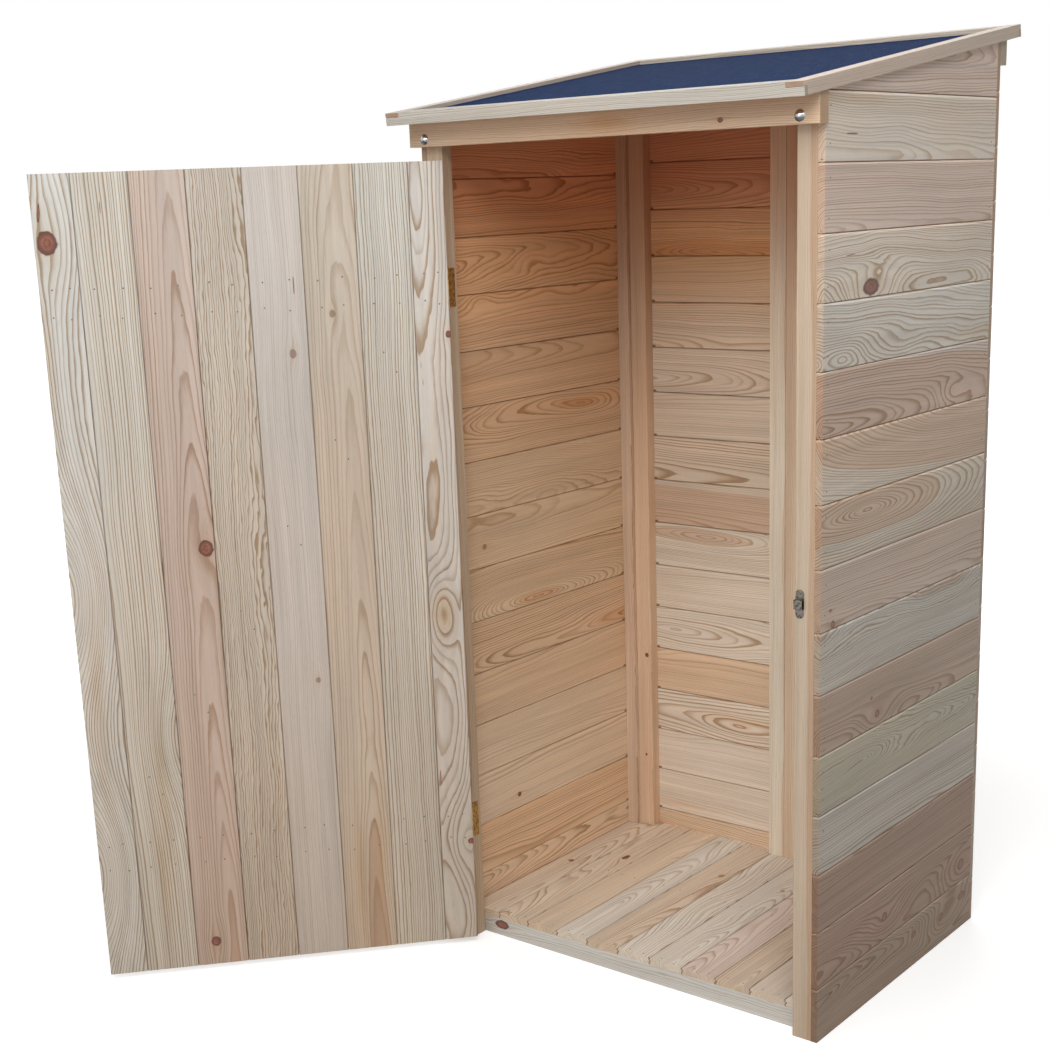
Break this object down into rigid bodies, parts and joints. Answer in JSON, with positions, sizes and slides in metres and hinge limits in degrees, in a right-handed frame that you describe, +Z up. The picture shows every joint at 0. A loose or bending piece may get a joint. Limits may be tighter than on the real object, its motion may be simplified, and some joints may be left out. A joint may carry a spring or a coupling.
{
  "type": "garden storage cabinet",
  "caption": "Tall narrow garden storage cabinet of tongue-and-groove boards with a ledged door on butt hinges, slide bolt, boarded floor and felted lean-to roof.",
  "frame": {"origin": "on the ground, at the middle of the cabinet's body, midway between its side walls and between its post fronts and its back wall", "axes": "+Z up, front with the door towards -Y, +X towards the side where the door's free edge shuts"},
  "size_m": [1.3778, 1.3752, 1.8719],
  "materials": {
    "wall_board_wood": "planed unpainted softwood tongue-and-groove boards",
    "frame_wood": "planed unpainted softwood posts, battens, rails and bearers",
    "floor_board_wood": "planed unpainted softwood floor boards",
    "door_board_wood": "planed unpainted softwood door boards, ledges and brace",
    "roof_board_wood": "sawn unpainted softwood roof boards",
    "roof_strip_wood": "planed unpainted softwood edge strips",
    "roof_felt": "dark slate-blue mineral-faced bitumen roofing felt",
    "hinge_brass": "brass-plated steel butt hinges and screws",
    "zinc_steel": "bright zinc-plated steel bolts, nuts, slide bolt and keeper"
  },
  "bodies": {
    "cabinet": {"back_wall_boards": "wall_board_wood", "bolt_keeper": "zinc_steel", "floor_bearer_front": "frame_wood", "floor_bearer_middle": "frame_wood", "floor_bearer_rear": "frame_wood", "floor_board_01": "floor_board_wood", "floor_board_02": "floor_board_wood", "floor_board_03": "floor_board_wood", "floor_board_04": "floor_board_wood", "floor_board_05": "floor_board_wood", "floor_board_06": "floor_board_wood", "floor_board_07": "floor_board_wood", "floor_board_08": "floor_board_wood", "floor_board_09": "floor_board_wood", "floor_board_10": "floor_board_wood", "floor_board_11": "floor_board_wood", "hinge_screws_frame": "hinge_brass", "keeper_screws": "zinc_steel", "left_front_post": "frame_wood", "left_rear_back_batten": "frame_wood", "left_rear_side_batten": "frame_wood", "left_wall_boards": "wall_board_wood", "lintel": "frame_wood", "lintel_bolts": "zinc_steel", "lintel_nuts": "zinc_steel", "lower_hinge_frame_leaf": "hinge_brass", "lower_hinge_pin": "hinge_brass", "middle_battens": "frame_wood", "rear_rail": "frame_wood", "right_front_post": "frame_wood", "right_rear_back_batten": "frame_wood", "right_rear_side_batten": "frame_wood", "right_wall_boards": "wall_board_wood", "roof_deck_boards": "roof_board_wood", "roof_felt": "roof_felt", "roof_strip_back": "roof_strip_wood", "roof_strip_front": "roof_strip_wood", "roof_strip_left": "roof_strip_wood", "roof_strip_right": "roof_strip_wood", "upper_hinge_frame_leaf": "hinge_brass", "upper_hinge_pin": "hinge_brass"},
    "door": {"bolt_pad": "door_board_wood", "bolt_plate": "zinc_steel", "bolt_plate_screws": "zinc_steel", "door_board_1": "door_board_wood", "door_board_2": "door_board_wood", "door_board_3": "door_board_wood", "door_board_4": "door_board_wood", "door_board_5": "door_board_wood", "door_board_6": "door_board_wood", "door_board_7": "door_board_wood", "door_board_8": "door_board_wood", "door_brace": "door_board_wood", "door_ledge_bottom": "door_board_wood", "door_ledge_top": "door_board_wood", "hinge_screws_door": "hinge_brass", "lower_hinge_door_leaf": "hinge_brass", "upper_hinge_door_leaf": "hinge_brass"},
    "bolt": {"bolt_bar": "zinc_steel", "bolt_knob": "zinc_steel"}
  },
  "joints": [
    {"name": "door_hinge", "type": "hinge", "parent": "cabinet", "child": "door", "pos_m": [-0.395, -0.349, 0.84], "axis": [0, 0, -1], "range_deg": [-131.5, 38.5]},
    {"name": "bolt_slide", "type": "slide", "parent": "door", "child": "bolt", "axis": [-0.6626, -0.749, 0], "range_m": [0, 0.024]}
  ]
}
